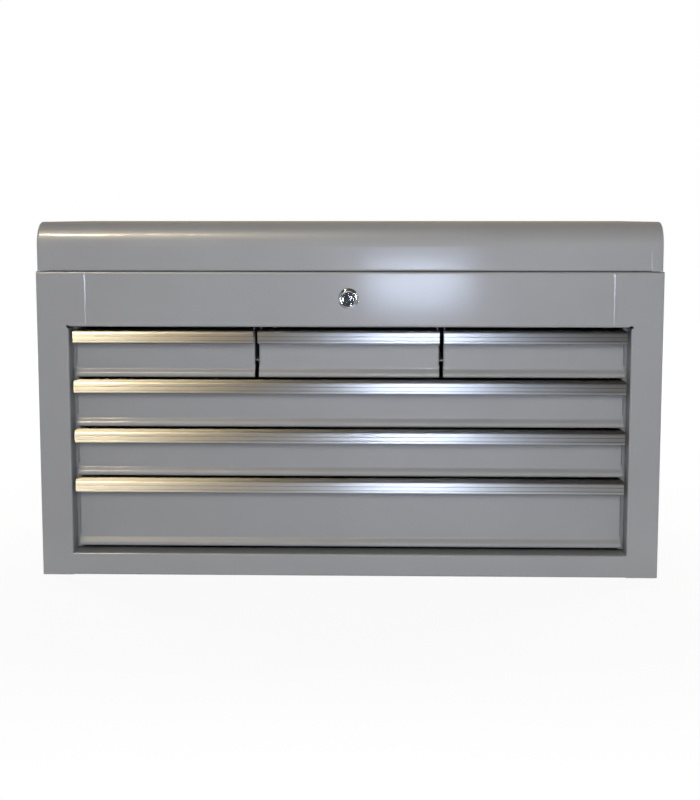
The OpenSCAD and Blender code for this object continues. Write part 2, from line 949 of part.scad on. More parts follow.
// Lock body: a flange with a raised ring and a barrel that passes through the rail
module lock_body() {
    bore = lock_plug_d / 2 + plug_fit;
    rim = lock_flange_d / 2;
    color(chrome)
        about_lock() {
            span([bore, -lock_barrel_l], [lock_barrel_d / 2, 0]);
            span([bore, 0], [rim - 1, 1.6]);
            span([bore, 0], [rim, 0.8]);
            translate([rim - 1, 0.8])
                intersection() {
                    circle(1);
                    span([0, 0], [2, 2]);
                }
            translate([rim - 2.6, 1.6])
                intersection() {
                    circle(1.4);
                    span([-2, 0], [2, 2]);
                }
        }
}

// Lock nut behind the rail
module lock_nut() {
    color(zinc)
        translate([0, -hd + t, lock_z])
            rotate([-90, 0, 0])
                difference() {
                    cylinder(h = 4, d = lock_barrel_d + 8, $fn = 6);
                    translate([0, 0, -1])
                        cylinder(h = 6, d = lock_barrel_d);
                }
}

// Lock plug: a ring keyway round a post, and a square boss for the cam
module lock_plug() {
    r = lock_plug_d / 2;
    color(chrome) {
        about_lock()
            difference() {
                span([0, -lock_barrel_l - 2], [r, 0.6]);
                span([r * 0.55, -6], [r + 1, 1]);
            }
        along_y(cam_y1, cam_y1 + cam_t + 1)
            translate([0, lock_z])
                square(boss_w, center = true);
    }
}

// Lock cam: upright when open, turned sideways over the strike's ledge when locked
module lock_cam() {
    color(zinc)
        along_y(cam_y1, cam_y1 + cam_t)
            translate([0, lock_z])
                difference() {
                    union() {
                        circle(d = cam_w + 3);
                        span([-cam_w / 2, 0], [cam_w / 2, cam_reach - cam_w / 2]);
                        translate([0, cam_reach - cam_w / 2])
                            circle(d = cam_w);
                    }
                    square(boss_w, center = true);
                }
}

// Arc about the hinge pin in the plane of the lid's ends; angles run up from the forward level
module stop_arc(r, w, a0, a1) {
    translate([pin_y, pin_z])
        mirror([1, 0])
            arc_strip(r, w, a0, a1 - a0);
}
module stop_disc(r, a, d) {
    translate([pin_y, pin_z])
        mirror([1, 0])
            translate(ray(r, a))
                circle(d = d);
}

// The arc with round ends, a hair narrower than its sides
module stop_band(r, w, a0, a1) {
    stop_arc(r, w, a0, a1);
    stop_disc(r, a0, w - hair);
    stop_disc(r, a1, w - hair);
}

// Lid stop bracket: stands on the till floor, with a slot about the hinge pin for the stud
module stop_bracket() {
    x = hw - t - stop_in;
    a0 = -stop_low;
    a1 = lid_open - stop_low;
    slot = stud_d + 2 * stud_gap;
    wide = slot + 2 * stop_edge;
    foot_y = pin_y - stop_r * cos(stop_low);
    difference() {
        union() {
            along_x(x - stop_t, x) {
                stop_band(stop_r, wide, a0, a1);
                span(
                    [foot_y - wide / 2, till_top + 2 * stop_t],
                    [foot_y + wide / 2, pin_z - stop_r * sin(stop_low)]
                );
            }
            along_y(foot_y - wide / 2, foot_y + wide / 2)
                folded([
                    [x - weld_flange, till_top + stop_t / 2],
                    [x - stop_t / 2, till_top + stop_t / 2],
                    [x - stop_t / 2, till_top + 3 * stop_t]
                ], stop_t, stop_t);
        }
        along_x(x - stop_t - 1, x + 1)
            stop_band(stop_r, slot, a0, a1);
    }
}

module stop_brackets() {
    color(zinc)
        both_sides()
            stop_bracket();
}

// Lid stop arm: welded inside an end cap, with the stud that rides in the bracket's slot
module stop_arm() {
    x = hw - t - stop_in + stud_gap;
    wide = stud_d + stop_edge;
    pad_y = pin_y - stop_r - wide;
    pad_z = lid_z0 + arm_rise;
    along_x(x, x + stop_t) {
        stop_band(stop_r, wide, -stop_low, 30);
    }
    along_x(x - stop_t - 2 * stud_gap - 1, x)
        stop_disc(stop_r, -stop_low, stud_d);
    intersection() {
        along_y(pin_y - stop_r - wide, pin_y - stop_r * cos(30) + wide / 2)
            folded([
                [x + stop_t / 2, lid_z0 + 3],
                [x + stop_t / 2, pad_z],
                [lid_hw - t - stop_t / 2, pad_z],
                [lid_hw - t - stop_t / 2, pad_z + arm_pad]
            ], stop_t, stop_t);
        along_x(x - 1, lid_hw)
            span([pad_y, lid_z0], [pin_y, lid_z1 - cap_r]);
    }
}

module stop_arms() {
    color(zinc)
        both_sides()
            stop_arm();
}

// Handle plate on the right-hand side: a rounded plate with two bored ears
module handle_plate() {
    ear_d = rod_d + 2 * ear_wall;
    difference() {
        union() {
            along_x(hw, hw + plate_t)
                translate([0, handle_z - plate_h / 4])
                    for (a = [0, 1], b = [0, 1])
                        mirror([a, 0])
                            mirror([0, b]) {
                                span([0, 0], [plate_w / 2 - plate_r, plate_h / 2]);
                                span([0, 0], [plate_w / 2, plate_h / 2 - plate_r]);
                                translate([plate_w / 2 - plate_r, plate_h / 2 - plate_r])
                                    circle(plate_r);
                            }
            for (s = [0, 1])
                mirror([0, s, 0])
                    along_y(ear_y, ear_y + ear_l) {
                        translate([rod_x, handle_z])
                            circle(d = ear_d);
                        span([hw, handle_z - ear_d / 2], [rod_x, handle_z + ear_d / 2]);
                    }
        }
        along_y(-bail_w, bail_w)
            translate([rod_x, handle_z])
                circle(d = rod_d + 2 * rod_fit);
    }
}

module handle_plate_right() {
    color(chrome)
        handle_plate();
}

module handle_plate_left() {
    color(chrome)
        mirror([1, 0, 0])
            handle_plate();
}

// Bail of the right-hand handle: a rod bent round into both ears, hanging at rest
module handle_bail() {
    arm_y = bail_w / 2;
    for (s = [0, 1])
        mirror([0, s, 0])
            translate([rod_x, 0, handle_z]) {
                along_y(ear_y + 1, arm_y - bail_r)
                    circle(d = rod_d);
                translate([0, arm_y - bail_r, -bail_r])
                    rotate([90, 0, 90])
                        rod_bend();
                translate([0, arm_y, -bail_drop + bail_r])
                    cylinder(h = bail_drop - 2 * bail_r, d = rod_d);
                translate([0, arm_y - bail_r, -bail_drop + bail_r])
                    rotate([0, 90, 0])
                        rod_bend();
                along_y(0, arm_y - bail_r)
                    translate([0, -bail_drop])
                        circle(d = rod_d);
            }
}

module rod_bend() {
    rotate_extrude(angle = 90)
        translate([bail_r, 0])
            circle(d = rod_d);
}

module handle_bail_right() {
    color(chrome)
        handle_bail();
}

module handle_bail_left() {
    color(chrome)
        mirror([1, 0, 0])
            handle_bail();
}

side_left();
side_right();
back_panel();
bottom_panel();
front_rail();
till_floor();
divider_left();
divider_right();
uprights_left();
uprights_right();
cabinet_slides(1);  // cabinet_slides_1
cabinet_slides(2);  // cabinet_slides_2
cabinet_slides(3);  // cabinet_slides_3
cabinet_slides(4);  // cabinet_slides_4
cabinet_slides(5);  // cabinet_slides_5
cabinet_slides(6);  // cabinet_slides_6
hinge_leaf_body();
hinge_pin();
stop_brackets();
lock_body();
lock_nut();
handle_plate_left();
handle_plate_right();
lid_skin();
lid_end_left();
lid_end_right();
hinge_leaf_lid();
lid_strike();
stop_arms();
lid_buffers();
drawer_tray(1);  // drawer_tray_1
drawer_tray(2);  // drawer_tray_2
drawer_tray(3);  // drawer_tray_3
drawer_tray(4);  // drawer_tray_4
drawer_tray(5);  // drawer_tray_5
drawer_tray(6);  // drawer_tray_6
drawer_pull(1);  // drawer_pull_1
drawer_pull(2);  // drawer_pull_2
drawer_pull(3);  // drawer_pull_3
drawer_pull(4);  // drawer_pull_4
drawer_pull(5);  // drawer_pull_5
drawer_pull(6);  // drawer_pull_6
drawer_slides(1);  // drawer_slides_1
drawer_slides(2);  // drawer_slides_2
drawer_slides(3);  // drawer_slides_3
drawer_slides(4);  // drawer_slides_4
drawer_slides(5);  // drawer_slides_5
drawer_slides(6);  // drawer_slides_6
ball_cages(1);  // ball_cages_1
ball_cages(2);  // ball_cages_2
ball_cages(3);  // ball_cages_3
ball_cages(4);  // ball_cages_4
ball_cages(5);  // ball_cages_5
ball_cages(6);  // ball_cages_6
lock_plug();
lock_cam();
handle_bail_left();
handle_bail_right();
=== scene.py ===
import math
import bpy
from mathutils import Matrix, Vector


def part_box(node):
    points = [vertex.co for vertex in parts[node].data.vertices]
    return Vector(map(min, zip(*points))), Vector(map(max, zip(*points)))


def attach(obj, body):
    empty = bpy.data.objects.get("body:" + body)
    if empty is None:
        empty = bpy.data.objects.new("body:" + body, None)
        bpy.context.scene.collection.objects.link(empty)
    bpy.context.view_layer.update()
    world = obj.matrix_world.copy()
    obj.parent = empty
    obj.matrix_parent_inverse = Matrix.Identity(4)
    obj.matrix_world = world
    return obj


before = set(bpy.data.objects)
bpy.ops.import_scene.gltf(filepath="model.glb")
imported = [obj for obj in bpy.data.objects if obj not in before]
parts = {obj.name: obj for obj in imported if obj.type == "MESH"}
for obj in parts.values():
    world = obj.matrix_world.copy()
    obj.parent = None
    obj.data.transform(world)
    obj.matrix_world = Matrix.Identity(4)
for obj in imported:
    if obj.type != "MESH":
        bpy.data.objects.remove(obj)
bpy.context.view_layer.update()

# Cabinet shell
# Side panels, back, bottom and front rail: 1 mm steel sheet, folded on a press brake and spot welded.
# The welded shell is sprayed with polyester powder and baked, so paint also covers the cut edges.


def linear(shade):
    """An sRGB hex colour as linear RGBA."""
    rgb = [int(shade[i:i + 2], 16) / 255 for i in (1, 3, 5)]
    return [c / 12.92 if c <= 0.04045 else ((c + 0.055) / 1.055) ** 2.4 for c in rgb] + [1.0]


def add(tree, kind, inputs=None, **settings):
    """Adds a node with its settings, and its inputs as values or as links."""
    made = tree.nodes.new(kind)
    for key, value in settings.items():
        setattr(made, key, value)
    for key, value in (inputs or {}).items():
        if isinstance(value, bpy.types.NodeSocket):
            tree.links.new(value, made.inputs[key])
        else:
            made.inputs[key].default_value = value
    return made


def new_finish(name):
    """A new procedural material: the material, its tree, its shader and its Object coordinates."""
    material = bpy.data.materials.new(name)
    material.use_nodes = True
    tree = material.node_tree
    place = add(tree, "ShaderNodeTexCoord").outputs["Object"]
    return material, tree, tree.nodes["Principled BSDF"], place


def coat(material, *names):
    """Puts a finish on CAD nodes through their material slots."""
    for name in names:
        for held in parts[name].material_slots:
            held.material = material


# A Mix node has a set of like-named sockets for each type, so its sockets go by number.
factor, colour_a, colour_b = 0, 6, 7
colour_out = 2
# Most of a noise lies between these two values.
noise_low, noise_high = 0.3, 0.7

# Grey polyester powder coat: semi-gloss, with a faint orange peel from the melted grains, small patches of
# duller gloss, and slow changes of shade where the film is thicker.
peel_pitch = 0.0016
peel_depth = 0.0002
gloss_patch = 0.012
film_patch = 0.11
powder_coat, tree, shader, place = new_finish("grey_powder_coat")
peel = add(tree, "ShaderNodeTexNoise", {"Vector": place, "Scale": 1 / peel_pitch, "Detail": 2.0})
film = add(tree, "ShaderNodeTexNoise", {"Vector": place, "Scale": 1 / film_patch, "Detail": 3.0})
grain = add(tree, "ShaderNodeTexNoise", {"Vector": place, "Scale": 1 / gloss_patch, "Detail": 4.0})
shade = add(tree, "ShaderNodeMix", {
    factor: film.outputs["Fac"], colour_a: linear("#8a8c8e"), colour_b: linear("#949698")}, data_type="RGBA")
gloss = add(tree, "ShaderNodeMapRange", {
    "Value": grain.outputs["Fac"], "From Min": noise_low, "From Max": noise_high,
    "To Min": 0.40, "To Max": 0.48})
skin = add(tree, "ShaderNodeBump", {"Height": peel.outputs["Fac"], "Strength": 0.10, "Distance": peel_depth})
tree.links.new(shade.outputs[colour_out], shader.inputs["Base Color"])
tree.links.new(gloss.outputs["Result"], shader.inputs["Roughness"])
tree.links.new(skin.outputs["Normal"], shader.inputs["Normal"])
tree.links.new(skin.outputs["Normal"], shader.inputs["Coat Normal"])
shader.inputs["IOR"].default_value = 1.5
shader.inputs["Coat Weight"].default_value = 0.2
shader.inputs["Coat Roughness"].default_value = 0.12
coat(powder_coat, "side_left", "side_right", "back_panel", "bottom_panel", "front_rail")


def seam(name, body, path, wide, high, side):
    """A low painted step along (point, facing) pairs, highest at its outer edge, that moves with a body."""
    sunk = 0.0001
    ring = 4
    corners = []
    for point, way in path:
        out = Vector(way)
        outer = Vector(point) + Vector((side * wide / 2, 0, 0))
        inner = outer - Vector((side * wide, 0, 0))
        corners += [outer - out * sunk, outer + out * high, inner, inner - out * sunk]
    last = len(corners) - ring
    faces = [range(ring)[::-1], range(last, last + ring)]
    for first in range(0, last, ring):
        for k in range(ring):
            near = first + k
            far = first + (k + 1) % ring
            faces.append((near, far, far + ring, near + ring))
    mesh = bpy.data.meshes.new(name)
    mesh.from_pydata(corners, [], [tuple(face)[::-side] for face in faces])
    mesh.materials.append(powder_coat)
    step = bpy.data.objects.new(name, mesh)
    bpy.context.scene.collection.objects.link(step)
    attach(step, body)


# The rail butts against a tab of each side panel; the joint is tacked from behind and the powder bridges it.
# The top of the joint, where the tack shows through, is a little wider.
past_edge = 0.0001
rail_low, rail_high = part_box("front_rail")
rail_face = rail_low.y
joint_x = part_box("side_right")[0].x + past_edge
joint_foot = rail_low.z + 0.0022
tack_foot = rail_high.z - 0.0055
tack_top = rail_high.z - 0.0025
joint_wide = 0.0012
tack_wide = 0.0022
forwards = (0, -1, 0)
for name, side, slope in (("left", -1, 0.22), ("right", 1, 0.13)):
    joint = [((side * joint_x, rail_face, z), forwards) for z in (joint_foot, tack_foot)]
    tack = [((side * joint_x, rail_face, z), forwards) for z in (tack_foot, tack_top)]
    seam(f"rail_seam_{name}", "cabinet", joint, joint_wide, joint_wide * slope, side)
    seam(f"rail_tack_{name}", "cabinet", tack, tack_wide, tack_wide * slope, side)

# Till floor, dividers, uprights
# Inner sheet-metal pieces: the till floor, two hangers between the small drawers, and hat-section uprights.
# Folded from the same sheet and painted with the shell.
coat(powder_coat, "till_floor", "divider_left", "divider_right", "uprights_left", "uprights_right")

# Outer slides
# Outer members of the ball-bearing slides: cold-rolled strip with curled races, zinc plated after forming.
# Riveted to the uprights and dividers.

# Bright zinc plate with a clear passivate: blue-grey metal, slightly cloudy in patches.
cloud_patch = 0.008
zinc_plate, tree, shader, place = new_finish("zinc_plated_steel")
cloud = add(tree, "ShaderNodeTexNoise", {"Vector": place, "Scale": 1 / cloud_patch, "Detail": 3.0})
shade = add(tree, "ShaderNodeMix", {
    factor: cloud.outputs["Fac"], colour_a: linear("#8f9499"), colour_b: linear("#b4b8bb")}, data_type="RGBA")
gloss = add(tree, "ShaderNodeMapRange", {
    "Value": cloud.outputs["Fac"], "From Min": noise_low, "From Max": noise_high,
    "To Min": 0.28, "To Max": 0.42})
tree.links.new(shade.outputs[colour_out], shader.inputs["Base Color"])
tree.links.new(gloss.outputs["Result"], shader.inputs["Roughness"])
shader.inputs["Metallic"].default_value = 1.0
drawer_numbers = range(1, 7)
coat(zinc_plate, *[f"cabinet_slides_{n}" for n in drawer_numbers])

# Piano hinge
# Two steel leaves with rolled knuckles on a 3 mm pin along the back, zinc plated.
# Each leaf is fixed by a row of domed rivets, body leaf to the back panel and lid leaf to the lid.
coat(zinc_plate, "hinge_leaf_body", "hinge_leaf_lid", "hinge_pin")

# Rivet heads: at each point a ball of unit size is cut flat below, stretched to the head's diameter and
# height, and turned to face the way its sheet faces.
rivets = bpy.data.node_groups.new("rivet_heads", "GeometryNodeTree")
for label, kind in (("Places", "NodeSocketGeometry"), ("Head diameter", "NodeSocketFloat"),
                    ("Head height", "NodeSocketFloat"), ("Finish", "NodeSocketMaterial")):
    rivets.interface.new_socket(label, in_out="INPUT", socket_type=kind)
rivets.interface.new_socket("Heads", in_out="OUTPUT", socket_type="NodeSocketGeometry")
ball_radius = 0.5
underside = -0.1
given = add(rivets, "NodeGroupInput").outputs
ball = add(rivets, "GeometryNodeMeshUVSphere", {"Segments": 14, "Rings": 8, "Radius": ball_radius})
point = add(rivets, "GeometryNodeInputPosition").outputs["Position"]
spot = add(rivets, "ShaderNodeSeparateXYZ", {"Vector": point}).outputs
above = add(rivets, "ShaderNodeMath", {0: spot["Z"], 1: underside}, operation="MAXIMUM").outputs["Value"]
cut = add(rivets, "ShaderNodeCombineXYZ", {"X": spot["X"], "Y": spot["Y"], "Z": above}).outputs["Vector"]
dome = add(rivets, "GeometryNodeSetPosition", {"Geometry": ball.outputs["Mesh"], "Position": cut})
tall = add(rivets, "ShaderNodeMath", {0: given["Head height"], 1: 1 / ball_radius}, operation="MULTIPLY")
stretch = add(rivets, "ShaderNodeCombineXYZ", {
    "X": given["Head diameter"], "Y": given["Head diameter"], "Z": tall.outputs["Value"]})
facing = add(rivets, "GeometryNodeInputNamedAttribute", {"Name": "facing"}, data_type="FLOAT_VECTOR")
turned = add(rivets, "FunctionNodeAlignRotationToVector", {"Vector": facing.outputs["Attribute"]}, axis="Z")
heads = add(rivets, "GeometryNodeInstanceOnPoints", {
    "Points": given["Places"], "Instance": dome.outputs["Geometry"],
    "Rotation": turned.outputs["Rotation"], "Scale": stretch.outputs["Vector"]})
whole = add(rivets, "GeometryNodeRealizeInstances", {"Geometry": heads.outputs["Instances"]})
smooth = add(rivets, "GeometryNodeSetShadeSmooth", {"Geometry": whole.outputs["Geometry"]})
plated = add(rivets, "GeometryNodeSetMaterial", {
    "Geometry": smooth.outputs["Geometry"], "Material": given["Finish"]})
add(rivets, "NodeGroupOutput", {"Heads": plated.outputs["Geometry"]})


def rivet_row(name, body, places, material, head):
    """Bakes heads of a (diameter, height) at (point, facing) pairs into one mesh that moves with a body."""
    mesh = bpy.data.meshes.new(name)
    mesh.from_pydata([point for point, _ in places], [], [])
    ways = mesh.attributes.new("facing", "FLOAT_VECTOR", "POINT")
    ways.data.foreach_set("vector", [c for _, way in places for c in way])
    row = bpy.data.objects.new(name, mesh)
    bpy.context.scene.collection.objects.link(row)
    modifier = row.modifiers.new("rivets", "NODES")
    modifier.node_group = rivets
    sizes = {"Head diameter": head[0], "Head height": head[1], "Finish": material}
    for item in rivets.interface.items_tree:
        if item.in_out == "INPUT" and item.name in sizes:
            modifier[item.identifier] = sizes[item.name]
    baked = bpy.data.meshes.new_from_object(row.evaluated_get(bpy.context.evaluated_depsgraph_get()))
    row.modifiers.remove(modifier)
    row.data = baked
    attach(row, body)


leaf_sheet = 0.0012
leaf_margin = 0.009
hinge_head = (0.0046, 0.0011)
backwards = (0, 1, 0)
hinge_spots = [millimetres / 1000 for millimetres in range(-270, 271, 60)]
low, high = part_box("hinge_leaf_body")
body_leaf = [((x, low.y + leaf_sheet, low.z + leaf_margin), backwards) for x in hinge_spots]
rivet_row("hinge_rivets_body", "cabinet", body_leaf, zinc_plate, hinge_head)
low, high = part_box("hinge_leaf_lid")
lid_leaf = [((x, low.y + leaf_sheet, high.z - leaf_margin), backwards) for x in hinge_spots]
rivet_row("hinge_rivets_lid", "lid", lid_leaf, zinc_plate, hinge_head)

# Lid
# Lid skin folded over a wide front radius, with a drawn end cap lapped under it at each end, and painted as
# the shell. Inside are the plated lock strike, the stop arms and two rubber buffers that meet the front rail.
coat(powder_coat, "lid_skin", "lid_end_left", "lid_end_right")
coat(zinc_plate, "lid_strike", "stop_arms", "stop_brackets")

# The joint of skin and end cap is filled and painted over, up the front and round the bend.
# Its lowest part, under the front radius, stays as a fine ridge.
lid_radius = 0.026
lid_seam_wide = 0.0006
lid_seam_high = 0.00005
ridge_wide = 0.0012
low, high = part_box("lid_skin")
ridge_foot = low.z + 0.0022
ridge_top = low.z + 0.020
wrap = [(low.y, ridge_foot, forwards)]
for degrees in range(0, 81, 5):
    turn = math.radians(degrees)
    way = (0, -math.cos(turn), math.sin(turn))
    wrap.append((low.y + lid_radius + lid_radius * way[1], high.z - lid_radius + lid_radius * way[2], way))
for name, side, slope, end in (("left", -1, 0.16, low.x), ("right", 1, 0.12, high.x)):
    edge = end + side * past_edge
    bridge = [((edge, y, z), way) for y, z, way in wrap]
    ridge = [((edge, low.y, z), forwards) for z in (ridge_foot, ridge_top)]
    seam(f"lid_seam_{name}", "lid", bridge, lid_seam_wide, lid_seam_high, side)
    seam(f"lid_ridge_{name}", "lid", ridge, ridge_wide, ridge_wide * slope, side)

# Black nitrile rubber: matt, with a fine moulded grain.
grit_pitch = 0.0008
grit_depth = 0.0002
nitrile, tree, shader, place = new_finish("nitrile_rubber")
grit = add(tree, "ShaderNodeTexNoise", {"Vector": place, "Scale": 1 / grit_pitch, "Detail": 3.0})
shade = add(tree, "ShaderNodeMix", {
    factor: grit.outputs["Fac"], colour_a: linear("#1b1b1d"), colour_b: linear("#2b2b2e")}, data_type="RGBA")
skin = add(tree, "ShaderNodeBump", {"Height": grit.outputs["Fac"], "Strength": 0.2, "Distance": grit_depth})
tree.links.new(shade.outputs[colour_out], shader.inputs["Base Color"])
tree.links.new(skin.outputs["Normal"], shader.inputs["Normal"])
shader.inputs["Roughness"].default_value = 0.72
coat(nitrile, "lid_buffers")

# Drawers
# Six drawers folded from 0.8 mm sheet and painted as the shell; their flat fronts step forward at the foot.
# Each rides on two zinc-plated inner slides, riveted through the tray sides, with balls in pressed cages.
coat(powder_coat, *[f"drawer_tray_{n}" for n in drawer_numbers])
coat(zinc_plate, *[f"drawer_slides_{n}" for n in drawer_numbers])
coat(zinc_plate, *[f"ball_cages_{n}" for n in drawer_numbers])

# The rivet heads are on the inner faces of the tray sides, level with the slides.
tray_wall = 0.0008
slide_depth = 0.0067
slide_rivet_pitch = 0.085
slide_head = (0.0052, 0.001)
for n in drawer_numbers:
    low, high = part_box(f"drawer_slides_{n}")
    middle = (low + high) / 2
    tray_inside = (high.x - low.x) / 2 - slide_depth - tray_wall
    places = []
    for k in (-1, 0, 1):
        for side in (-1, 1):
            spot = (middle.x + side * tray_inside, k * slide_rivet_pitch, middle.z)
            places.append((spot, (-side, 0, 0)))
    rivet_row(f"slide_rivets_{n}", f"drawer_{n}", places, zinc_plate, slide_head)

# Pulls
# Finger pulls extruded in aluminium and pushed on the top edge of each drawer front.
# The lip has a fine groove and a bead along its lower edge, and is brushed lengthways and clear anodised.

# Brushed aluminium: streaks along X, drawn wider apart than real ones so that they show. A light is drawn out
# upwards and downwards but stays narrow along the pull.
streak_length = 0.6
streak_pitch = 0.0008
streak_depth = 0.0001
number_a, number_b = 2, 3
number_out = 0
brushed, tree, shader, place = new_finish("brushed_aluminium")
along = add(tree, "ShaderNodeMapping", {
    "Vector": place, "Scale": (1 / streak_length, 1 / streak_pitch, 1 / streak_pitch)})
streaks = add(tree, "ShaderNodeTexNoise", {"Vector": along.outputs["Vector"], "Scale": 1.0, "Detail": 3.0})
shade = add(tree, "ShaderNodeMix", {
    factor: streaks.outputs["Fac"], colour_a: linear("#babbbb"), colour_b: linear("#ccccca")},
    data_type="RGBA")
gloss = add(tree, "ShaderNodeMapRange", {
    "Value": streaks.outputs["Fac"], "From Min": noise_low, "From Max": noise_high,
    "To Min": 0.32, "To Max": 0.36})
lines = add(tree, "ShaderNodeBump", {
    "Height": streaks.outputs["Fac"], "Strength": 0.06, "Distance": streak_depth})
# Only the front of the lip is bright. Its rounded edges and all behind them are rougher, and painted darker
# as painted shade for the shadow along the pull's top and under its bead.
lip_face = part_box("drawer_pull_1")[0].y
bright_to = lip_face + 0.0001
dull_and_shaded_from = lip_face + 0.0005
depth = add(tree, "ShaderNodeSeparateXYZ", {"Vector": place}).outputs["Y"]
behind = add(tree, "ShaderNodeMapRange", {"Value": depth, "From Min": bright_to, "From Max": dull_and_shaded_from})
behind = behind.outputs["Result"]
# 84837d is painted shade over the lip's edges and back, not a colour the aluminium has.
shade = add(tree, "ShaderNodeMix", {
    factor: behind, colour_a: shade.outputs[colour_out], colour_b: linear("#84837d")}, data_type="RGBA")
gloss = add(tree, "ShaderNodeMix", {factor: behind, number_a: gloss.outputs["Result"], number_b: 0.5})
grain = add(tree, "ShaderNodeTangent", direction_type="RADIAL", axis="X")
tree.links.new(shade.outputs[colour_out], shader.inputs["Base Color"])
tree.links.new(gloss.outputs[number_out], shader.inputs["Roughness"])
tree.links.new(lines.outputs["Normal"], shader.inputs["Normal"])
tree.links.new(grain.outputs["Tangent"], shader.inputs["Tangent"])
shader.inputs["Metallic"].default_value = 1.0
shader.inputs["Anisotropic"].default_value = 1.0
coat(brushed, *[f"drawer_pull_{n}" for n in drawer_numbers])

# Lock
# Tubular cam lock in the front rail: die-cast zinc barrel and plug, chrome plated, held by a nut behind it.
# The plug turns a plated steel cam that hooks over the strike in the lid.

# Chrome plate: bright and hard, with a trace of handling marks.
mark_size = 0.003
chrome, tree, shader, place = new_finish("chrome_plate")
marks = add(tree, "ShaderNodeTexNoise", {"Vector": place, "Scale": 1 / mark_size, "Detail": 4.0})
shade = add(tree, "ShaderNodeMix", {
    factor: marks.outputs["Fac"], colour_a: linear("#b2b5b8"), colour_b: linear("#c6c9cc")}, data_type="RGBA")
gloss = add(tree, "ShaderNodeMapRange", {
    "Value": marks.outputs["Fac"], "From Min": 0.35, "From Max": noise_high,
    "To Min": 0.03, "To Max": 0.07})
tree.links.new(shade.outputs[colour_out], shader.inputs["Base Color"])
tree.links.new(gloss.outputs["Result"], shader.inputs["Roughness"])
shader.inputs["Metallic"].default_value = 1.0
coat(chrome, "lock_body", "lock_plug")
coat(zinc_plate, "lock_nut", "lock_cam")

# Ends of the seven pin tumblers round the plug's post.
pin_count = 7
pin_circle = 0.0047
pin_start = 0.4
pin_end = (0.0015, 0.0009)
pin_y = rail_face + 0.0061
low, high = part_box("lock_plug")
lock_z = (low.z + high.z) / 2
pins = []
for k in range(pin_count):
    turn = math.tau * k / pin_count + pin_start
    pins.append(((pin_circle * math.cos(turn), pin_y, lock_z + pin_circle * math.sin(turn)), forwards))
rivet_row("lock_pins", "lock_core", pins, chrome, pin_end)

# Handles
# A bail handle on each side: a bent 6 mm rod in two ears of a pressed plate, chrome plated.
# Four domed rivets fix each plate to its side panel.
coat(chrome, "handle_plate_left", "handle_plate_right", "handle_bail_left", "handle_bail_right")
plate_sheet = 0.0016
upper_half, upper_margin = 0.020, 0.008
lower_half, lower_margin = 0.044, 0.012
plate_head = (0.006, 0.0014)
for side, plate in ((-1, "handle_plate_left"), (1, "handle_plate_right")):
    low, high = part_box(plate)
    face = side * (min(abs(low.x), abs(high.x)) + plate_sheet)
    places = []
    for half, z in ((upper_half, high.z - upper_margin), (lower_half, low.z + lower_margin)):
        for y in (-half, half):
            places.append(((face, y, z), (side, 0, 0)))
    rivet_row(f"{plate}_rivets", "cabinet", places, chrome, plate_head)

# Studio
# A white floor that runs out of sight; a cool low lamp by the camera, a warm strip and its tail up left,
# one wide fill in front and three behind. A cloth arch that only reflections see is dark in front and paler
# overhead and behind, with a pale gleam low down.


def stage_sheet(name, corners, faces):
    """A sheet of the studio with an empty material, kept apart from the object."""
    mesh = bpy.data.meshes.new(name)
    mesh.from_pydata(corners, [], faces)
    material = bpy.data.materials.new(name)
    material.use_nodes = True
    material.node_tree.nodes.clear()
    mesh.materials.append(material)
    sheet = bpy.data.objects.new(name, mesh)
    bpy.context.scene.collection.objects.link(sheet)
    return sheet


def looking_rays(tree):
    """A socket that is 1 for rays of the camera, a mirror or a glass, and 0 for those that only light."""
    ray = add(tree, "ShaderNodeLightPath").outputs
    mirror = add(tree, "ShaderNodeMath", {0: ray["Is Camera Ray"], 1: ray["Is Glossy Ray"]}, operation="ADD")
    looking = add(tree, "ShaderNodeMath", {
        0: mirror.outputs["Value"], 1: ray["Is Transmission Ray"]}, operation="ADD", use_clamp=True)
    return looking.outputs["Value"]


# The floor shows mostly its own white and a little of the shadow that falls on it; it is whitest far out.
floor_half = 9
floor_z = -0.0006
own_white = 0.86
near_ring, far_ring = 0.5, 1.8
floor = stage_sheet("studio_floor", [(x * floor_half, y * floor_half, floor_z) for x, y in (
    (-1, -1), (1, -1), (1, 1), (-1, 1))], [(0, 1, 2, 3)])
tree = floor.active_material.node_tree
place = add(tree, "ShaderNodeTexCoord").outputs["Object"]
away = add(tree, "ShaderNodeVectorMath", {0: place}, operation="LENGTH")
paler = add(tree, "ShaderNodeMapRange", {
    "Value": away.outputs["Value"], "From Min": near_ring, "From Max": far_ring,
    "To Min": 1.05, "To Max": 1.14})
paper = add(tree, "ShaderNodeBsdfDiffuse", {"Color": linear("#f4f4f4")})
white = add(tree, "ShaderNodeEmission", {"Color": linear("#ffffff"), "Strength": paler.outputs["Result"]})
share = add(tree, "ShaderNodeMath", {0: looking_rays(tree), 1: own_white}, operation="MULTIPLY")
both = add(tree, "ShaderNodeMixShader", {
    0: share.outputs["Value"], 1: paper.outputs["BSDF"], 2: white.outputs["Emission"]})
add(tree, "ShaderNodeOutputMaterial", {"Surface": both.outputs["Shader"]})

# The cloth lies on the floor in front of the box, rises behind the camera and bends back overhead.
cloth_half = 2.5
arch_radius = 2.6
arch_y = -0.4
arch = [(0.5, -0.35, 0.001)]
for degrees in range(0, 172, 9):
    turn = math.radians(degrees)
    arch.append((cloth_half, arch_y - arch_radius * math.cos(turn), arch_radius * math.sin(turn)))
cloth = stage_sheet("dark_cloth", [(x, y, z) for half, y, z in arch for x in (-half, half)],
                    [(2 * i, 2 * i + 1, 2 * i + 3, 2 * i + 2) for i in range(len(arch) - 1)])
tree = cloth.active_material.node_tree
place = add(tree, "ShaderNodeTexCoord").outputs["Object"]
spot = add(tree, "ShaderNodeSeparateXYZ", {"Vector": place}).outputs
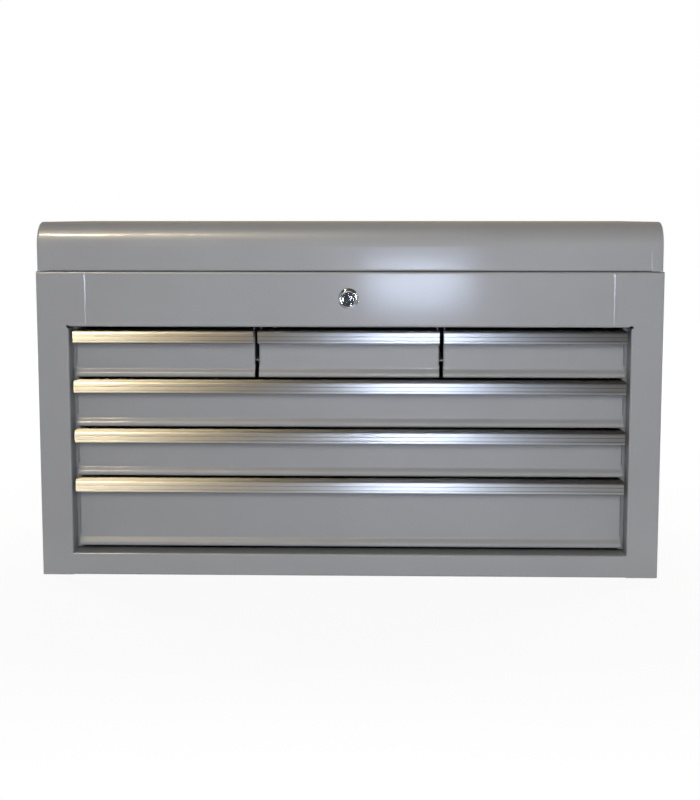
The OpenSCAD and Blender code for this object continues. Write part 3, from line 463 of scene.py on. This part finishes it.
# The gleam is a band along Y that widens towards the box.
gleam_x = 0.11
gleam_colour = (1.2, 1.35, 1.6, 1)
beside = add(tree, "ShaderNodeMath", {0: spot["X"], 1: gleam_x}, operation="SUBTRACT")
across = add(tree, "ShaderNodeMath", {0: beside.outputs["Value"]}, operation="ABSOLUTE")
reach = add(tree, "ShaderNodeMapRange", {
    "Value": spot["Y"], "From Min": -1.6, "From Max": -0.6, "To Min": 0.20, "To Max": 0.34})
pale = add(tree, "ShaderNodeMapRange", {
    "Value": across.outputs["Value"], "From Max": reach.outputs["Result"], "To Min": 1.0, "To Max": 0.0},
    interpolation_type="SMOOTHSTEP")
lower = add(tree, "ShaderNodeMapRange", {
    "Value": spot["Z"], "From Min": 0.02, "From Max": 0.1, "To Min": 1.0, "To Max": 0.0})
gleam = add(tree, "ShaderNodeMath", {
    0: pale.outputs["Result"], 1: lower.outputs["Result"]}, operation="MULTIPLY")
overhead = add(tree, "ShaderNodeMapRange", {"Value": spot["Y"], "From Min": -1.2, "From Max": 0.6})
folds = add(tree, "ShaderNodeMix", {
    factor: overhead.outputs["Result"], colour_a: linear("#3a332b"), colour_b: linear("#b8a186")},
    data_type="RGBA")
weave = add(tree, "ShaderNodeMix", {
    factor: gleam.outputs["Value"], colour_a: folds.outputs[colour_out], colour_b: gleam_colour},
    data_type="RGBA")
glow = add(tree, "ShaderNodeEmission", {"Color": weave.outputs[colour_out], "Strength": 1.0})
add(tree, "ShaderNodeOutputMaterial", {"Surface": glow.outputs["Emission"]})
for ray_kind in ("camera", "diffuse", "transmission", "volume_scatter", "shadow"):
    setattr(cloth, f"visible_{ray_kind}", False)


def soft_lamp(name, at, towards, wide, tall, watts, tint):
    """A rectangular soft lamp that points at a place."""
    lamp = bpy.data.lights.new(name, "AREA")
    lamp.shape = "RECTANGLE"
    lamp.size = wide
    lamp.size_y = tall
    lamp.energy = watts
    lamp.color = linear(tint)[:3]
    stand = bpy.data.objects.new(name, lamp)
    bpy.context.scene.collection.objects.link(stand)
    stand.location = at
    stand.rotation_euler = (Vector(towards) - Vector(at)).to_track_quat("-Z", "Y").to_euler()
    return stand


# The strip and its tail are there for the pulls' and the lid's highlights, so they light no matt surface.
# The fills do the opposite: they light, and no reflection shows them.
fronts = (0, -0.15, 0.2)
upper_fronts = (-0.1, -0.15, 0.25)
back = (0, 0.15, 0.2)
top = (0, 0, 0.25)
rear_tint = "#fffdfa"
soft_lamp("front_lamp", (0.10, -1.75, 0.242), fronts, 0.20, 0.08, 4.8, "#d8e4ff")
strips = [
    soft_lamp("warm_strip", (-0.665, -1.00, 1.64), upper_fronts, 0.26, 0.10, 28, "#ffecc8"),
    soft_lamp("warm_strip_tail", (-0.43, -0.95, 1.655), upper_fronts, 0.24, 0.05, 4.2, "#ffe6bc")]
fills = [
    soft_lamp("front_fill", (0.1, -3.2, 1.25), fronts, 1.8, 1.0, 50, "#fff8f0"),
    soft_lamp("rear_fill_left", (-2.4, 2.4, 1.3), back, 1.2, 1.0, 34, rear_tint),
    soft_lamp("rear_fill_right", (2.4, 2.4, 1.3), back, 1.2, 1.0, 34, rear_tint),
    soft_lamp("rear_fill_high", (0, 2.0, 2.2), top, 1.6, 1.0, 24, rear_tint)]
for strip in strips:
    strip.visible_diffuse = False
for fill in fills:
    fill.visible_glossy = False

# The room is white where it is seen; the light it gives comes mostly from low down and little from above.
low_light, high_light = 0.64, 0.08
world = bpy.data.worlds.new("white_room")
bpy.context.scene.world = world
world.use_nodes = True
tree = world.node_tree
tree.nodes.clear()
way = add(tree, "ShaderNodeTexCoord").outputs["Generated"]
height = add(tree, "ShaderNodeSeparateXYZ", {"Vector": way}).outputs["Z"]
light = add(tree, "ShaderNodeMapRange", {
    "Value": height, "From Min": 0.0, "From Max": 0.6, "To Min": low_light, "To Max": high_light})
level = add(tree, "ShaderNodeMix", {
    factor: looking_rays(tree), number_a: light.outputs["Result"], number_b: 1.0})
room = add(tree, "ShaderNodeBackground", {"Color": linear("#ffffff"), "Strength": level.outputs[number_out]})
add(tree, "ShaderNodeOutputWorld", {"Surface": room.outputs["Background"]})

# The camera stands in front of the rail, a little right of the middle, and looks slightly down.
camera_distance = 1.55
camera_place = (0.0443, rail_face - camera_distance, 0.3839)
yaw = math.radians(-1.576)
pitch = math.radians(7.098)
focal_pixels = 1476.2
picture_pixels = 700
sensor_millimetres = 36
ahead = Vector((math.sin(yaw) * math.cos(pitch), math.cos(yaw) * math.cos(pitch), -math.sin(pitch)))
right = Vector((math.cos(yaw), -math.sin(yaw), 0))
aim = Matrix((right, right.cross(ahead), -ahead)).transposed().to_4x4()
camera = bpy.data.objects.new("camera", bpy.data.cameras.new("camera"))
bpy.context.scene.collection.objects.link(camera)
camera.matrix_world = Matrix.Translation(camera_place) @ aim
camera.data.sensor_fit = "HORIZONTAL"
camera.data.sensor_width = sensor_millimetres
camera.data.lens = focal_pixels * sensor_millimetres / picture_pixels
camera.data.clip_end = 50
bpy.context.scene.camera = camera
bpy.context.scene.view_settings.view_transform = "Standard"
